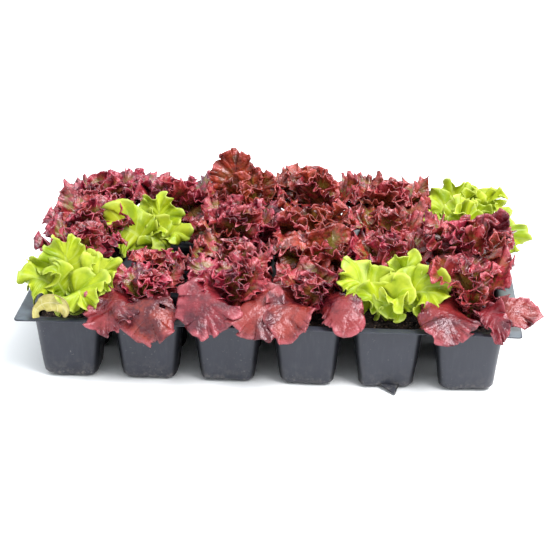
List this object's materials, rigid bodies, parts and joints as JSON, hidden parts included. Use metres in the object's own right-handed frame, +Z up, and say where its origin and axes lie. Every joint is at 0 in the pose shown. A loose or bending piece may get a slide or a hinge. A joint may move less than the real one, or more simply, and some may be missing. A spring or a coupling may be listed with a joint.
{
  "type": "plug tray",
  "caption": "Planted plug tray: thin dark thermoformed cell tray with a flat carrying flange and lift-out growing-medium plugs rooted with red and green lettuce.",
  "frame": {"origin": "centre of the tray's footprint, on the ground plane under the cell bases", "axes": "+X along the tray's long side, +Y towards the back row, +Z up; the front row is at -Y"},
  "size_m": [0.352, 0.212, 0.117],
  "materials": {
    "tray_plastic": "satin charcoal thermoformed sheet",
    "growing_medium": "moist fibrous peat",
    "red_leaf": "semi-gloss leaf",
    "green_leaf": "semi-gloss leaf"
  },
  "bodies": {
    "tray": {"tray": "tray_plastic"},
    "seedling_r1_c1": {"plug_r1_c1": "growing_medium", "lettuce_r1_c1": "green_leaf"},
    "seedling_r1_c2": {"plug_r1_c2": "growing_medium", "lettuce_r1_c2": "red_leaf"},
    "seedling_r1_c3": {"plug_r1_c3": "growing_medium", "lettuce_r1_c3": "red_leaf"},
    "seedling_r1_c4": {"plug_r1_c4": "growing_medium", "lettuce_r1_c4": "red_leaf"},
    "seedling_r1_c5": {"plug_r1_c5": "growing_medium", "lettuce_r1_c5": "green_leaf"},
    "seedling_r1_c6": {"plug_r1_c6": "growing_medium", "lettuce_r1_c6": "red_leaf"},
    "seedling_r2_c1": {"plug_r2_c1": "growing_medium", "lettuce_r2_c1": "red_leaf"},
    "seedling_r2_c2": {"plug_r2_c2": "growing_medium", "lettuce_r2_c2": "red_leaf"},
    "seedling_r2_c3": {"plug_r2_c3": "growing_medium", "lettuce_r2_c3": "red_leaf"},
    "seedling_r2_c4": {"plug_r2_c4": "growing_medium", "lettuce_r2_c4": "red_leaf"},
    "seedling_r2_c5": {"plug_r2_c5": "growing_medium", "lettuce_r2_c5": "red_leaf"},
    "seedling_r2_c6": {"plug_r2_c6": "growing_medium", "lettuce_r2_c6": "red_leaf"},
    "seedling_r3_c1": {"plug_r3_c1": "growing_medium", "lettuce_r3_c1": "red_leaf"},
    "seedling_r3_c2": {"plug_r3_c2": "growing_medium", "lettuce_r3_c2": "green_leaf"},
    "seedling_r3_c3": {"plug_r3_c3": "growing_medium", "lettuce_r3_c3": "red_leaf"},
    "seedling_r3_c4": {"plug_r3_c4": "growing_medium", "lettuce_r3_c4": "red_leaf"},
    "seedling_r3_c5": {"plug_r3_c5": "growing_medium", "lettuce_r3_c5": "red_leaf"},
    "seedling_r3_c6": {"plug_r3_c6": "growing_medium", "lettuce_r3_c6": "green_leaf"},
    "seedling_r4_c1": {"plug_r4_c1": "growing_medium", "lettuce_r4_c1": "red_leaf"},
    "seedling_r4_c2": {"plug_r4_c2": "growing_medium", "lettuce_r4_c2": "red_leaf"},
    "seedling_r4_c3": {"plug_r4_c3": "growing_medium", "lettuce_r4_c3": "red_leaf"},
    "seedling_r4_c4": {"plug_r4_c4": "growing_medium", "lettuce_r4_c4": "red_leaf"},
    "seedling_r4_c5": {"plug_r4_c5": "growing_medium", "lettuce_r4_c5": "red_leaf"},
    "seedling_r4_c6": {"plug_r4_c6": "growing_medium", "lettuce_r4_c6": "green_leaf"}
  },
  "joints": [
    {"name": "lift_r1_c1", "type": "slide", "parent": "tray", "child": "seedling_r1_c1", "axis": [0, 0, 1], "range_m": [0, 0.1]},
    {"name": "lift_r1_c2", "type": "slide", "parent": "tray", "child": "seedling_r1_c2", "axis": [0, 0, 1], "range_m": [0, 0.1]},
    {"name": "lift_r1_c3", "type": "slide", "parent": "tray", "child": "seedling_r1_c3", "axis": [0, 0, 1], "range_m": [0, 0.1]},
    {"name": "lift_r1_c4", "type": "slide", "parent": "tray", "child": "seedling_r1_c4", "axis": [0, 0, 1], "range_m": [0, 0.1]},
    {"name": "lift_r1_c5", "type": "slide", "parent": "tray", "child": "seedling_r1_c5", "axis": [0, 0, 1], "range_m": [0, 0.1]},
    {"name": "lift_r1_c6", "type": "slide", "parent": "tray", "child": "seedling_r1_c6", "axis": [0, 0, 1], "range_m": [0, 0.1]},
    {"name": "lift_r2_c1", "type": "slide", "parent": "tray", "child": "seedling_r2_c1", "axis": [0, 0, 1], "range_m": [0, 0.1]},
    {"name": "lift_r2_c2", "type": "slide", "parent": "tray", "child": "seedling_r2_c2", "axis": [0, 0, 1], "range_m": [0, 0.1]},
    {"name": "lift_r2_c3", "type": "slide", "parent": "tray", "child": "seedling_r2_c3", "axis": [0, 0, 1], "range_m": [0, 0.1]},
    {"name": "lift_r2_c4", "type": "slide", "parent": "tray", "child": "seedling_r2_c4", "axis": [0, 0, 1], "range_m": [0, 0.1]},
    {"name": "lift_r2_c5", "type": "slide", "parent": "tray", "child": "seedling_r2_c5", "axis": [0, 0, 1], "range_m": [0, 0.1]},
    {"name": "lift_r2_c6", "type": "slide", "parent": "tray", "child": "seedling_r2_c6", "axis": [0, 0, 1], "range_m": [0, 0.1]},
    {"name": "lift_r3_c1", "type": "slide", "parent": "tray", "child": "seedling_r3_c1", "axis": [0, 0, 1], "range_m": [0, 0.1]},
    {"name": "lift_r3_c2", "type": "slide", "parent": "tray", "child": "seedling_r3_c2", "axis": [0, 0, 1], "range_m": [0, 0.1]},
    {"name": "lift_r3_c3", "type": "slide", "parent": "tray", "child": "seedling_r3_c3", "axis": [0, 0, 1], "range_m": [0, 0.1]},
    {"name": "lift_r3_c4", "type": "slide", "parent": "tray", "child": "seedling_r3_c4", "axis": [0, 0, 1], "range_m": [0, 0.1]},
    {"name": "lift_r3_c5", "type": "slide", "parent": "tray", "child": "seedling_r3_c5", "axis": [0, 0, 1], "range_m": [0, 0.1]},
    {"name": "lift_r3_c6", "type": "slide", "parent": "tray", "child": "seedling_r3_c6", "axis": [0, 0, 1], "range_m": [0, 0.1]},
    {"name": "lift_r4_c1", "type": "slide", "parent": "tray", "child": "seedling_r4_c1", "axis": [0, 0, 1], "range_m": [0, 0.1]},
    {"name": "lift_r4_c2", "type": "slide", "parent": "tray", "child": "seedling_r4_c2", "axis": [0, 0, 1], "range_m": [0, 0.1]},
    {"name": "lift_r4_c3", "type": "slide", "parent": "tray", "child": "seedling_r4_c3", "axis": [0, 0, 1], "range_m": [0, 0.1]},
    {"name": "lift_r4_c4", "type": "slide", "parent": "tray", "child": "seedling_r4_c4", "axis": [0, 0, 1], "range_m": [0, 0.1]},
    {"name": "lift_r4_c5", "type": "slide", "parent": "tray", "child": "seedling_r4_c5", "axis": [0, 0, 1], "range_m": [0, 0.1]},
    {"name": "lift_r4_c6", "type": "slide", "parent": "tray", "child": "seedling_r4_c6", "axis": [0, 0, 1], "range_m": [0, 0.1]}
  ]
}
